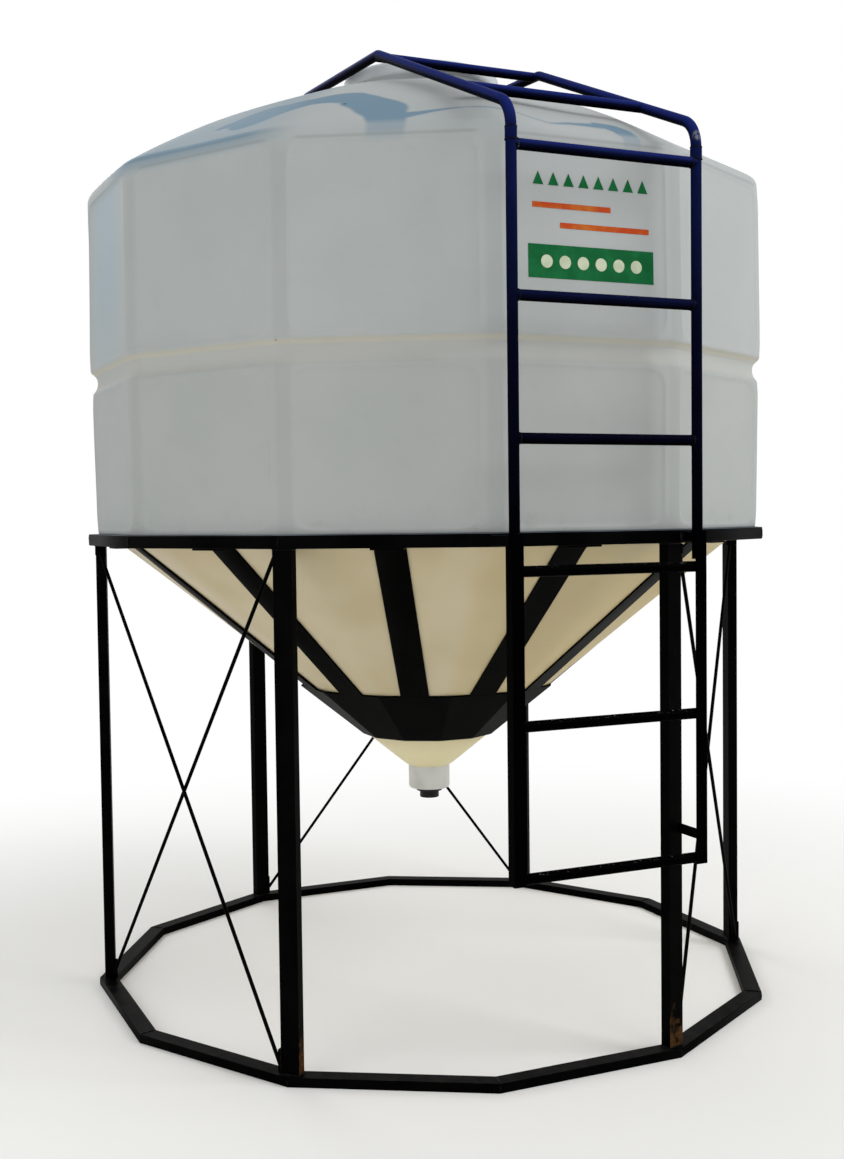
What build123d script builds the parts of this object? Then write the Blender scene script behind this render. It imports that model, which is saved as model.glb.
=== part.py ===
from build123d import *
from math import atan2, cos, degrees, hypot, radians, sin, tan
import os

# Twelve-sided plastic hopper silo on a steel frame, in millimetres.
# Z is up, the tank's axis is the Z axis, the ground is Z = 0 and the ladder faces -Y.

# Plan of the silo
sides = 12
side_angle = 360 / sides
half_side = side_angle / 2
to_apothem = cos(radians(half_side))
ladder_azimuth = -90

# Ring beams. The corner radius of the top ring sets the size of the whole plan.
ring_corner_radius = 1208
top_ring_width = 60
top_ring_height = 40
base_ring_inset_width = 4
base_ring_width = 58
base_ring_height = 29

# Legs, on every second corner
leg_count = 6
leg_height = 1546
leg_inset_width = 42
leg_width = 60
leg_depth = 35
leg_wall_thickness = 3
first_leg_azimuth = -75

# Crossed rods between pairs of legs
brace_bays = ("right", "rear", "left")
rod_diameter = 12
rod_setback_distance = 4
rod_stagger_distance = 16
rod_foot_height = 16
rod_head_drop_height = 18
rod_entry_distance = 6.5
rod_tab_thickness = 8
rod_tab_width = 30
rod_foot_tab_height = 70
rod_head_tab_height = 30
rod_tab_gap = 3

# Tank wall
skin_thickness = 8
wall_inset_width = 24
lower_wall_lean_width = 7
groove_depth = 17
upper_wall_overhang_width = 24
upper_wall_lean_width = 8
lower_wall_height = 490
groove_lower_lip_height = 19
groove_flat_height = 40
groove_upper_lip_height = 14
upper_wall_height = 562

# Hopper under the tank
ring_gap_width = 20
hopper_knuckle_height = 21
spout_radius = 75
spout_wall_thickness = 8
spout_length = 80
hopper_depth = 868

# Outlet fitting in the spout's floor
fitting_neck_radius = 35
fitting_neck_height = 10
fitting_flange_radius = 47.5
fitting_flange_height = 12
fitting_nose_height = 25

# Roof, an arc in section from the eave's shoulder to the hatch
roof_edge_inset_width = 19
roof_edge_height = 49
roof_rim_height = 410
roof_bulge_height = 46.4
shoulder_radius = 45

# Filling hatch
hatch_neck_radius = 283
hatch_neck_wall_thickness = 9
hatch_neck_depth = 12
hatch_neck_height = 30
lid_radius = 280
lid_height = 82
lid_dome_radius = 1107
lid_shoulder_radius = 12
lid_wall_thickness = 6

# Steel straps and collar that cradle the hopper
strap_width = 97
strap_thickness = 6
strap_inset_width = 17
collar_foot_height = 129
collar_head_height = 313

# Ladder and guard rails
tube_diameter = 31.75
tube_wall_thickness = 2
angle_leg_width = 38
angle_thickness = 3
rail_spacing_width = 606
ladder_standoff_distance = 99
angle_foot_drop_height = 987
angle_head_drop_height = 1
stile_foot_drop_height = 85
lower_rung_drop_heights = (970.8, 541, 107)
upper_rung_heights = (262, 655, 1065)
rail_bend_height = 50
rail_bend_radius = 95
rail_kink_distance = 330
rail_kink_height = 45
rail_kink_radius = 70
rail_end_distance = 400
rail_end_height = 98
rail_end_radius = 60
rail_foot_distance = 470
rail_foot_depth = 60
middle_bar_distance = 282
kink_bar_distance = 30
far_bar_distance = 70
joint_distance = 90
bend_lead_length = 12
foot_plate_width = 80
foot_plate_thickness = 5

# Brackets that hold the ladder to the frame
bracket_height = 30
bracket_thickness = 6
bracket_overlap_length = 28
leg_bracket_drop_height = 911

# Clearance between curved faces that meet
touch_clearance = 0.3

# Levels that follow from the sizes above
leg_foot_z = base_ring_height
leg_head_z = leg_foot_z + leg_height
tank_seat_z = leg_head_z + top_ring_height
lower_wall_top_z = tank_seat_z + lower_wall_height
groove_foot_z = lower_wall_top_z + groove_lower_lip_height
groove_head_z = groove_foot_z + groove_flat_height
upper_wall_foot_z = groove_head_z + groove_upper_lip_height
eave_z = upper_wall_foot_z + upper_wall_height
roof_rim_z = eave_z + roof_rim_height
neck_top_z = roof_rim_z + hatch_neck_height
spout_top_z = tank_seat_z - hopper_depth
spout_foot_z = spout_top_z - spout_length
collar_foot_z = spout_top_z + collar_foot_height
collar_head_z = spout_top_z + collar_head_height
angle_head_z = tank_seat_z - angle_head_drop_height
angle_foot_z = tank_seat_z - angle_foot_drop_height
stile_foot_z = tank_seat_z - stile_foot_drop_height
rail_bend_z = eave_z + rail_bend_height
rail_kink_z = roof_rim_z + rail_kink_height
rail_end_z = roof_rim_z + rail_end_height
ring_bracket_z = leg_head_z + top_ring_height / 2
leg_bracket_z = tank_seat_z - leg_bracket_drop_height

# Distances from the axis that follow from the sizes above
base_ring_corner_radius = ring_corner_radius - base_ring_inset_width
leg_centre_radius = ring_corner_radius - leg_inset_width
top_ring_apothem = ring_corner_radius * to_apothem
top_ring_inner_apothem = top_ring_apothem - top_ring_width
wall_foot_apothem = top_ring_apothem - wall_inset_width
lower_wall_top_apothem = wall_foot_apothem + lower_wall_lean_width
groove_apothem = lower_wall_top_apothem - groove_depth
upper_wall_foot_apothem = groove_apothem + upper_wall_overhang_width
wall_top_apothem = upper_wall_foot_apothem - upper_wall_lean_width
roof_edge_apothem = wall_top_apothem - roof_edge_inset_width
roof_rim_apothem = hatch_neck_radius + touch_clearance
strap_flange_apothem = top_ring_apothem - strap_inset_width
knuckle_apothem = top_ring_inner_apothem - ring_gap_width
knuckle_z = tank_seat_z - hopper_knuckle_height
hopper_slope = (knuckle_z - spout_top_z) / (knuckle_apothem - spout_radius)
hopper_tilt = hypot(1, hopper_slope)
tube_radius = tube_diameter / 2
rail_x = rail_spacing_width / 2
rail_y = -(top_ring_apothem + ladder_standoff_distance)
angle_corner_x = rail_x + tube_radius + touch_clearance + angle_thickness
angle_corner_y = rail_y - tube_radius - touch_clearance - angle_thickness
side_azimuths = [ladder_azimuth + side_angle * i for i in range(sides)]
leg_azimuths = [first_leg_azimuth + 360 / leg_count * i for i in range(leg_count)]


def profile(points):
    """A face in the XZ plane from (distance from the axis, height) points."""
    return Plane.XZ * make_face(Polyline(*points, close=True))


def tank_side(section, azimuth):
    """One flat side of the twelve-sided tank: its section, drawn wide and mitred at both corners."""
    reach = 2 * ring_corner_radius
    spread = reach * tan(radians(half_side))
    slab = extrude(section, amount=spread, both=True)
    wedge_plan = make_face(Polyline((0, 0), (reach, -spread), (reach, spread), close=True))
    wedge = extrude(wedge_plan, amount=neck_top_z)
    return Rot(0, 0, azimuth) * (slab & wedge)


def polygon_ring(corner_radius, width, foot_z, height):
    """A mitred ring beam with one flat side square to the ladder."""
    inner_radius = corner_radius - width / to_apothem
    outline = RegularPolygon(corner_radius, sides) - RegularPolygon(inner_radius, sides)
    turned = Rot(0, 0, half_side) * outline
    return Pos(0, 0, foot_z) * extrude(turned, amount=height)


def wall_section():
    """Section of the tank wall, with the groove round its middle."""
    outer = [
        (wall_foot_apothem, tank_seat_z),
        (lower_wall_top_apothem, lower_wall_top_z),
        (groove_apothem, groove_foot_z),
        (groove_apothem, groove_head_z),
        (upper_wall_foot_apothem, upper_wall_foot_z),
        (wall_top_apothem, eave_z),
    ]
    inner = [(apothem - skin_thickness, z) for apothem, z in reversed(outer)]
    return profile(outer + inner)


def hopper_z(apothem):
    """Height of the hopper's outer face at a distance from the axis."""
    return spout_top_z + (apothem - spout_radius) * hopper_slope


def hopper_apothem(z):
    """Distance from the axis of the hopper's outer face at a height."""
    return spout_radius + (z - spout_top_z) / hopper_slope


def hopper_section():
    """Section of the hopper, from its ledge on the top ring to the spout."""
    ledge_apothem = wall_foot_apothem - skin_thickness
    inner_knuckle = knuckle_apothem - skin_thickness
    spout_inner = spout_radius - spout_wall_thickness
    upright = skin_thickness * hopper_tilt
    return profile([
        (ledge_apothem, tank_seat_z),
        (knuckle_apothem, tank_seat_z),
        (knuckle_apothem, knuckle_z),
        (spout_radius, spout_top_z),
        (spout_inner, spout_top_z),
        (spout_inner, hopper_z(spout_inner) + upright),
        (inner_knuckle, hopper_z(inner_knuckle) + upright),
        (inner_knuckle, tank_seat_z + skin_thickness),
        (ledge_apothem, tank_seat_z + skin_thickness),
    ])


def roof_arc():
    """Centre and radius of the arc that the roof's outer face follows in section."""
    edge = (roof_edge_apothem, eave_z + roof_edge_height)
    rim = (roof_rim_apothem, roof_rim_z)
    run, rise = edge[0] - rim[0], rim[1] - edge[1]
    half_chord = hypot(run, rise) / 2
    radius = (half_chord**2 + roof_bulge_height**2) / (2 * roof_bulge_height)
    back = (radius - roof_bulge_height) / (2 * half_chord)
    centre_x = (edge[0] + rim[0]) / 2 - rise * back
    centre_z = (edge[1] + rim[1]) / 2 - run * back
    return centre_x, centre_z, radius


def roof_z(apothem, depth=0):
    """Height of the roof's arc, or of the arc that lies a depth under it."""
    centre_x, centre_z, radius = roof_arc()
    return centre_z + ((radius - depth) ** 2 - (apothem - centre_x) ** 2) ** 0.5


def roof_outline(lift):
    """Section of the roof as if it were filled, for shaping what stands on it."""
    middle_apothem = (roof_rim_apothem + wall_top_apothem) / 2
    middle = (middle_apothem, roof_z(middle_apothem) + lift)
    corner = (wall_top_apothem, roof_z(wall_top_apothem) + lift)
    rim = (roof_rim_apothem, roof_z(roof_rim_apothem) + lift)
    edges = [
        Line((roof_rim_apothem, eave_z), (wall_top_apothem, eave_z)),
        Line((wall_top_apothem, eave_z), corner),
        ThreePointArc(corner, middle, rim),
        Line(rim, (roof_rim_apothem, eave_z)),
    ]
    return Plane.XZ * make_face(edges)


def roof_section():
    """Section of the roof skin, from the eave round the shoulder to the hatch."""
    inner_wall = wall_top_apothem - skin_thickness
    middle = (roof_rim_apothem + wall_top_apothem) / 2

    def at(apothem, depth):
        return (apothem, roof_z(apothem, depth))

    outer_corner = at(wall_top_apothem, 0)
    inner_corner = at(inner_wall, skin_thickness)
    outer_rim = at(roof_rim_apothem, 0)
    inner_rim = at(roof_rim_apothem, skin_thickness)
    edges = [
        Line((wall_top_apothem, eave_z), outer_corner),
        ThreePointArc(outer_corner, at(middle, 0), outer_rim),
        Line(outer_rim, inner_rim),
        ThreePointArc(inner_rim, at(middle, skin_thickness), inner_corner),
        Line(inner_corner, (inner_wall, eave_z)),
        Line((inner_wall, eave_z), (wall_top_apothem, eave_z)),
    ]
    face = make_face(edges)
    outer_vertex = face.vertices().sort_by_distance(Vector(*outer_corner, 0))[0]
    face = fillet(outer_vertex, shoulder_radius)
    inner_vertex = face.vertices().sort_by_distance(Vector(*inner_corner, 0))[0]
    face = fillet(inner_vertex, shoulder_radius - skin_thickness)
    return Plane.XZ * face


def leg(azimuth):
    """One leg, a rectangular tube on a corner of the rings."""
    inner_depth = leg_depth - 2 * leg_wall_thickness
    inner_width = leg_width - 2 * leg_wall_thickness
    tube = Rectangle(leg_depth, leg_width) - Rectangle(inner_depth, inner_width)
    upright = extrude(tube, amount=leg_height)
    return Rot(0, 0, azimuth) * Pos(leg_centre_radius, 0, leg_foot_z) * upright


def leg_point(azimuth, radial, tangential, z):
    """A point by its distance from the axis and across it, as seen from a leg."""
    a = radians(azimuth)
    return Vector(radial * cos(a) - tangential * sin(a), radial * sin(a) + tangential * cos(a), z)


def rod_tab(azimuth, radius, side, foot_z, height):
    """The flat tab on a leg's side that a rod is welded to."""
    beside = (leg_width + rod_tab_thickness) / 2
    tab = Box(
        rod_tab_width,
        rod_tab_thickness,
        height,
        align=(Align.CENTER, Align.CENTER, Align.MIN),
    )
    return Rot(0, 0, azimuth) * Pos(radius, side * beside, foot_z) * tab


def rod(low_azimuth, high_azimuth, turn, stagger):
    """A brace rod with its end tabs, from one leg's foot to the next leg's head."""
    radius = leg_centre_radius - rod_setback_distance + stagger
    entry = leg_width / 2 + rod_entry_distance
    low = leg_point(low_azimuth, radius, turn * entry, leg_foot_z + rod_foot_height)
    high = leg_point(high_azimuth, radius, -turn * entry, leg_head_z - rod_head_drop_height)
    along = high - low
    bar = extrude(Plane(low, z_dir=along) * Circle(rod_diameter / 2), amount=along.length)
    low_tab_z = leg_foot_z + rod_tab_gap
    high_tab_z = leg_head_z - rod_tab_gap - rod_head_tab_height
    low_tab = rod_tab(low_azimuth, radius, turn, low_tab_z, rod_foot_tab_height)
    high_tab = rod_tab(high_azimuth, radius, -turn, high_tab_z, rod_head_tab_height)
    return bar + low_tab + high_tab


def brace(azimuth):
    """The crossed rods of one bay. They pass each other, one in front of the other."""
    following = azimuth + 360 / leg_count
    first = rod(azimuth, following, 1, -rod_stagger_distance / 2)
    second = rod(following, azimuth, -1, rod_stagger_distance / 2)
    return Compound(children=[first, second])


def cradle_section(foot_z, head_z):
    """Section of a plate that lies along the hopper's outer face."""
    back_x = strap_thickness * hopper_slope / hopper_tilt
    back_z = strap_thickness / hopper_tilt
    foot = (hopper_apothem(foot_z), foot_z)
    head = (hopper_apothem(head_z), head_z)
    return foot, head, back_x, back_z


def collar_section():
    """Section of the collar that the straps run down to."""
    foot, head, back_x, back_z = cradle_section(collar_foot_z, collar_head_z)
    return profile([
        foot,
        head,
        (head[0] + back_x, head[1] - back_z),
        (foot[0] + back_x, foot[1] - back_z),
    ])


def strap(azimuth):
    """One strap, from a flange under the top ring down the hopper to the collar."""
    foot, head, back_x, back_z = cradle_section(collar_head_z, leg_head_z)
    flange_z = leg_head_z - strap_thickness
    outer_x = hopper_apothem(flange_z + strap_thickness * hopper_tilt)
    section = profile([
        foot,
        head,
        (strap_flange_apothem, leg_head_z),
        (strap_flange_apothem, flange_z),
        (outer_x, flange_z),
        (foot[0] + back_x, foot[1] - back_z),
    ])
    return Rot(0, 0, azimuth) * extrude(section, amount=strap_width / 2, both=True)


def spout():
    """The round spout with its floor, which is open for the outlet fitting."""
    inner = spout_radius - spout_wall_thickness
    section = profile([
        (inner, spout_top_z),
        (spout_radius, spout_top_z),
        (spout_radius, spout_foot_z),
        (fitting_neck_radius + touch_clearance, spout_foot_z),
        (fitting_neck_radius + touch_clearance, spout_foot_z + spout_wall_thickness),
        (inner, spout_foot_z + spout_wall_thickness),
    ])
    return revolve(section, Axis.Z)


def outlet_fitting():
    """The stepped fitting that closes the spout's floor."""
    flange_z = spout_foot_z - fitting_flange_height
    nose_z = flange_z - fitting_nose_height
    top_z = spout_foot_z + spout_wall_thickness + fitting_neck_height
    section = profile([
        (0, nose_z),
        (fitting_neck_radius, nose_z),
        (fitting_neck_radius, flange_z),
        (fitting_flange_radius, flange_z),
        (fitting_flange_radius, spout_foot_z),
        (fitting_neck_radius, spout_foot_z),
        (fitting_neck_radius, top_z),
        (0, top_z),
    ])
    return revolve(section, Axis.Z)


def hatch_neck():
    """The round upstand of the filling hatch, set into the roof's rim."""
    outline = Circle(hatch_neck_radius) - Circle(hatch_neck_radius - hatch_neck_wall_thickness)
    foot_z = roof_rim_z - hatch_neck_depth
    return Pos(0, 0, foot_z) * extrude(outline, amount=neck_top_z - foot_z)


def lid_body(inset):
    """The lid as a filled body, with every face moved inwards by the inset."""
    radius = lid_radius - inset
    crown_z = neck_top_z + lid_height - inset
    dome_radius = lid_dome_radius - inset

    def dome(distance):
        return (distance, crown_z - dome_radius + (dome_radius**2 - distance**2) ** 0.5)

    edges = [
        Line((0, neck_top_z), (radius, neck_top_z)),
        Line((radius, neck_top_z), dome(radius)),
        ThreePointArc(dome(radius), dome(radius / 2), dome(0)),
        Line(dome(0), (0, neck_top_z)),
    ]
    face = make_face(edges)
    shoulder = face.vertices().sort_by_distance(Vector(*dome(radius), 0))[0]
    face = fillet(shoulder, lid_shoulder_radius - inset)
    return revolve(Plane.XZ * face, Axis.Z)


def hatch_lid():
    """The domed lid that rests on the neck."""
    return lid_body(0) - lid_body(lid_wall_thickness)


def tube_between(start, end):
    """A straight round tube from one point to another."""
    along = Vector(*end) - Vector(*start)
    ring = Circle(tube_radius) - Circle(tube_radius - tube_wall_thickness)
    return extrude(Plane(Vector(*start), z_dir=along) * ring, amount=along.length)


def bent_tube(points, radii):
    """A round tube along straight runs that are joined by bends."""
    path = FilletPolyline(*points, radius=radii)
    ring = Circle(tube_radius) - Circle(tube_radius - tube_wall_thickness)
    start = Plane(path @ 0, z_dir=path % 0)
    return sweep(start * ring, path=path)


def both_rails(piece):
    """The same piece on the right and on the left rail."""
    return Compound(children=[piece, mirror(piece, Plane.YZ)])


def rail_points():
    """The corners of the right-hand rail, from the ladder over the roof to its foot."""
    bend = Vector(rail_x, rail_y, rail_bend_z)
    kink = Vector(rail_x, -rail_kink_distance, rail_kink_z)
    end = Vector(rail_x, rail_end_distance, rail_end_z)
    foot_apothem = hypot(rail_x, rail_foot_distance)
    foot = Vector(rail_x, rail_foot_distance, roof_z(foot_apothem) - rail_foot_depth)
    return bend, kink, end, foot


def rail_split():
    """The point on the sloping run where the sloping and the level rail meet."""
    bend, kink, _, _ = rail_points()
    return kink + (bend - kink).normalized() * joint_distance


def stile_head_z():
    """Where the ladder's upright tube ends and the bend begins."""
    bend, kink, _, _ = rail_points()
    rise = degrees(atan2(kink.Z - bend.Z, kink.Y - bend.Y))
    tangent = rail_bend_radius * tan(radians((90 - rise) / 2))
    return rail_bend_z - tangent - bend_lead_length


def sloping_rail():
    """The bend at the ladder's top and the rail that rises over the roof."""
    bend, _, _, _ = rail_points()
    start = Vector(rail_x, rail_y, stile_head_z())
    return bent_tube([start, bend, rail_split()], [rail_bend_radius])


def roof_fill(lift):
    """The roof's rear sides as filled bodies, raised by a lift."""
    rear = [azimuth for azimuth in side_azimuths if 0 < azimuth < 180]
    return [tank_side(roof_outline(lift), azimuth) for azimuth in rear]


def level_rail():
    """The rail beside the hatch, with the foot that it stands on."""
    _, kink, end, foot = rail_points()
    rail = bent_tube([rail_split(), kink, end, foot], [rail_kink_radius, rail_end_radius])
    block = Box(foot_plate_width, foot_plate_width, foot_plate_width)
    block = Pos(rail_x, rail_foot_distance, foot.Z + rail_foot_depth) * block
    for body in roof_fill(touch_clearance):
        rail -= body
        block -= body
    for body in roof_fill(touch_clearance + foot_plate_thickness):
        plate = block & body
        if plate is not None:
            rail += plate
    return rail


def cross_bar(y, z):
    """A bar between the two rails, its ends shaped to the rails it meets."""
    return tube_between((-rail_x, y, z), (rail_x, y, z))


def coped(bar, direction, y, z):
    """A bar with its ends cut to fit against a rail on each side."""
    along = Vector(*direction).normalized()
    for x in (-rail_x, rail_x):
        start = Plane(Vector(x, y, z) - along * rail_x, z_dir=along)
        bar -= extrude(start * Circle(tube_radius + touch_clearance), amount=2 * rail_x)
    return bar


def lower_rung(drop):
    """A rung between the angle stiles, at a depth below the tank's foot."""
    z = tank_seat_z - drop
    x = angle_corner_x - angle_thickness
    return tube_between((-x, rail_y, z), (x, rail_y, z))


def upper_rung(height):
    """A rung between the upright tubes, at a height above the tank's foot."""
    z = tank_seat_z + height
    return coped(cross_bar(rail_y, z), (0, 0, 1), rail_y, z)


def guard_bar(y):
    """A bar between the sloping or the level rails, at a place along the ladder's depth."""
    bend, kink, end, _ = rail_points()
    low, high = (bend, kink) if y < kink.Y else (kink, end)
    share = (y - low.Y) / (high.Y - low.Y)
    point = low + (high - low) * share
    return coped(cross_bar(point.Y, point.Z), tuple(high - low), point.Y, point.Z)


def angle_stile():
    """The right-hand lower stile, an angle bar whose corner points out and forward."""
    outline = Polyline(
        (angle_corner_x, angle_corner_y),
        (angle_corner_x, angle_corner_y + angle_leg_width),
        (angle_corner_x - angle_thickness, angle_corner_y + angle_leg_width),
        (angle_corner_x - angle_thickness, angle_corner_y + angle_thickness),
        (angle_corner_x - angle_leg_width, angle_corner_y + angle_thickness),
        (angle_corner_x - angle_leg_width, angle_corner_y),
        close=True,
    )
    bar = extrude(make_face(outline), amount=angle_head_z - angle_foot_z)
    return Pos(0, 0, angle_foot_z) * bar


def bracket(z, back_y):
    """A flat bar beside the right-hand stile, from behind it to the stile's side."""
    front_y = angle_corner_y + angle_leg_width - bracket_overlap_length
    bar = Box(
        bracket_thickness,
        back_y - front_y,
        bracket_height,
        align=(Align.MIN, Align.MIN, Align.CENTER),
    )
    return Pos(angle_corner_x, front_y, z) * bar


def leg_bracket():
    """The bar from the leg beside the ladder to the right-hand stile."""
    outer_radius = leg_centre_radius + leg_depth / 2
    leg_side = Box(
        leg_centre_radius,
        leg_centre_radius,
        2 * bracket_height,
        align=(Align.MAX, Align.CENTER, Align.CENTER),
    )
    leg_side = Rot(0, 0, first_leg_azimuth) * Pos(outer_radius, 0, leg_bracket_z) * leg_side
    return bracket(leg_bracket_z, -leg_centre_radius * to_apothem) - leg_side


def wall_pieces():
    """The tank wall, one piece for each flat side."""
    section = wall_section()
    names = ["tank_wall_%02d" % (i + 1) for i in range(sides)]
    return {name: tank_side(section, azimuth) for name, azimuth in zip(names, side_azimuths)}


def alternate_pieces(name, section):
    """Twelve mitred plates as two nodes of every second plate, so none in a node touch."""
    plates = [tank_side(section, azimuth) for azimuth in side_azimuths]
    return {
        name + "_a": Compound(children=plates[0::2]),
        name + "_b": Compound(children=plates[1::2]),
    }


def tank_pieces():
    """Everything moulded from plastic, with the hatch and the outlet."""
    pieces = wall_pieces()
    pieces.update(alternate_pieces("roof_panels", roof_section()))
    pieces.update(alternate_pieces("hopper_panels", hopper_section()))
    pieces["hopper_spout"] = spout()
    pieces["outlet_fitting"] = outlet_fitting()
    pieces["hatch_neck"] = hatch_neck()
    pieces["hatch_lid"] = hatch_lid()
    return pieces


def frame_pieces():
    """The steel frame that carries the tank."""
    pieces = {
        "base_ring": polygon_ring(base_ring_corner_radius, base_ring_width, 0, base_ring_height),
        "top_ring": polygon_ring(ring_corner_radius, top_ring_width, leg_head_z, top_ring_height),
    }
    for i, azimuth in enumerate(leg_azimuths):
        pieces["leg_%d" % (i + 1)] = leg(azimuth)
    for name, azimuth in zip(brace_bays, leg_azimuths[0::2]):
        pieces["brace_" + name] = brace(azimuth)
    pieces["hopper_straps"] = Compound(children=[strap(azimuth) for azimuth in side_azimuths])
    pieces.update(alternate_pieces("hopper_collar", collar_section()))
    return pieces


def ladder_pieces():
    """The ladder, its guard rails over the roof and its brackets."""
    stile = tube_between((rail_x, rail_y, stile_foot_z), (rail_x, rail_y, stile_head_z()))
    bar_places = (
        rail_y + middle_bar_distance,
        kink_bar_distance - rail_kink_distance,
        rail_end_distance - far_bar_distance,
    )
    bars = [guard_bar(y) for y in bar_places]
    ring_bracket = bracket(ring_bracket_z, -top_ring_apothem)
    return {
        "ladder_angles": both_rails(angle_stile()),
        "ladder_lower_rungs": Compound(children=[lower_rung(drop) for drop in lower_rung_drop_heights]),
        "ladder_stiles": both_rails(stile),
        "ladder_upper_rungs": Compound(children=[upper_rung(h) for h in upper_rung_heights]),
        "guard_sloping_rails": both_rails(sloping_rail()),
        "guard_level_rails": both_rails(level_rail()),
        "guard_cross_bars": Compound(children=bars),
        "ladder_ring_brackets": both_rails(ring_bracket),
        "ladder_leg_bracket": leg_bracket(),
    }


def main():
    os.makedirs("parts", exist_ok=True)
    pieces = {**tank_pieces(), **frame_pieces(), **ladder_pieces()}
    for name, shape in pieces.items():
        export_step(shape, "parts/%s.step" % name)
    print(len(pieces), "pieces")


main()
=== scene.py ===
from math import asin, atan2, ceil, cos, degrees, pi, radians, sin, sqrt, tan
import random

import bmesh
import bpy
from mathutils import Matrix, Vector


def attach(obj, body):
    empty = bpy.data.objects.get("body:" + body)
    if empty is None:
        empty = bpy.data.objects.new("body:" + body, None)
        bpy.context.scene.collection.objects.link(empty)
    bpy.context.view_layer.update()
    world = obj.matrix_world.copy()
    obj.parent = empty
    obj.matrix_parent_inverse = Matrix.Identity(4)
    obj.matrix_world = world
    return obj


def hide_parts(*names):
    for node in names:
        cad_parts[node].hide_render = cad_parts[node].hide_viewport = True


# Plastic hopper silo: a twelve-sided moulded tank with a cone under it, on a welded steel frame
# with a ladder and guard rails. Metres, Z up, the tank's axis is the Z axis, the ladder faces -Y.

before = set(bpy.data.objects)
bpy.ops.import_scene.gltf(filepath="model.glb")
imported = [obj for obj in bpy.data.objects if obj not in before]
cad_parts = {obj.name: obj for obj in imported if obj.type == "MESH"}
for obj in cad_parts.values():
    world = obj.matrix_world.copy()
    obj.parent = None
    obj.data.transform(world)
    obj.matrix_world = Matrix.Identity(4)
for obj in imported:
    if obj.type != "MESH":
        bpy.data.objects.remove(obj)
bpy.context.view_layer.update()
random.seed(7)

# Plan of the silo, with azimuths in degrees
sides = 12
side_angle = 30
half_side = radians(side_angle / 2)
to_apothem = cos(half_side)
corner_azimuths = [-75 + side_angle * i for i in range(sides)]
leg_azimuths = corner_azimuths[::2]

# Levels
base_ring_top = 0.029
spout_foot = 0.667
spout_top = 0.747
leg_head = 1.575
tank_seat = 1.615
groove_middle = 2.140
groove_head = 2.164
groove_lip = 2.172
eave = 2.740
neck_root = 3.1475
neck_top = 3.180

# Tank wall from its foot to its top, as distance from the axis to the flats, and height
wall_outline = [
    (1.14284, tank_seat),
    (1.14300, 1.626),
    (1.14974, 2.098),
    (1.14984, 2.105),
    (1.13284, 2.124),
    (1.13284, groove_head),
    (1.15684, 2.178),
    (1.15674, 2.186),
    (1.14884, eave),
]
skin = 0.008
hopper_knuckle = (1.08684, 1.594)
spout_radius = 0.075
# A darker strip lies beside each corner, this many degrees from the flat's middle
corner_strip_angle = 15.6

# Roof arc in section
roof_centre = (-0.17941, 0.89132)
roof_radius = 2.30559
roof_rim_apothem = 0.2833

# How far the mouldings leave the true round
full_side_azimuth = -24
right_fullness = 0.009
right_roof_slack = 0.022
left_roof_slack = 0.005
left_shoulder_rise = 0.009
left_shoulder_fullness = 0.007
left_cone_pull = 0.007

# Ladder and guard rails
tube_radius = 0.015875
rail_x = 0.303
rail_y = -1.26584
upper_rungs = (1.877, 2.270, 2.680)
lower_rungs = (0.6442, 1.074, 1.508)
sleeve_foot = 2.690
sleeve_head = 2.724


def roof_z(apothem):
    """Height of the roof's outer face at a distance from the axis."""
    return roof_centre[1] + sqrt(roof_radius**2 - (apothem - roof_centre[0]) ** 2)


def polar(radius, azimuth, z):
    """A point by its distance from the axis, its azimuth in degrees and its height."""
    return Vector((radius * cos(radians(azimuth)), radius * sin(radians(azimuth)), z))


# Materials

def linear(hex_colour):
    """An sRGB hex colour as the linear values that a shader takes."""
    channels = [int(hex_colour[i:i + 2], 16) / 255 for i in (1, 3, 5)]
    curved = [c / 12.92 if c <= 0.04045 else ((c + 0.055) / 1.055) ** 2.4 for c in channels]
    return (*curved, 1)


def add(tree, kind, inputs=None, **settings):
    """Adds a node with its settings, and a value, a hex colour or a link on each input named."""
    node = tree.nodes.new("ShaderNode" + kind)
    for name, value in settings.items():
        setattr(node, name, value)
    pairs = enumerate(inputs) if isinstance(inputs, list) else (inputs or {}).items()
    for socket, value in pairs:
        if isinstance(value, bpy.types.Node):
            value = value.outputs[2 if value.bl_idname == "ShaderNodeMix" else 0]
        if isinstance(value, bpy.types.NodeSocket):
            tree.links.new(value, node.inputs[socket])
        else:
            node.inputs[socket].default_value = linear(value) if isinstance(value, str) else value
    return node


def new_material(name):
    """An empty material, its node tree and its object coordinates."""
    material = bpy.data.materials.new(name)
    material.use_nodes = True
    tree = material.node_tree
    tree.nodes.clear()
    return material, tree, add(tree, "TexCoord").outputs


def surface(tree, inputs):
    """Adds the surface shader with its inputs and links it to the output."""
    add(tree, "OutputMaterial", [add(tree, "BsdfPrincipled", inputs)])


smooth = {"interpolation_type": "SMOOTHSTEP"}
colours = {"data_type": "RGBA"}
times = {"operation": "MULTIPLY"}


def cloud_mask(tree, position, scale, detail, low, high, roughness=0.5, strength=1.0):
    """A mask of cloudy patches: noise at a scale per metre, cut softly between two of its levels."""
    noise = {"Vector": position, "Scale": scale, "Detail": detail, "Roughness": roughness}
    return add(tree, "MapRange", [add(tree, "TexNoise", noise), low, high, 0.0, strength], **smooth)


def line_mask(tree, value, centre, near, far, strength, beyond=0.0):
    """A soft line where a value meets its centre: full strength as far as near, faded at far."""
    away = add(tree, "Math", [value, centre], operation="SUBTRACT")
    away = add(tree, "Math", [away], operation="ABSOLUTE")
    return add(tree, "MapRange", [away, near, far, strength, beyond], **smooth)


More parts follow.
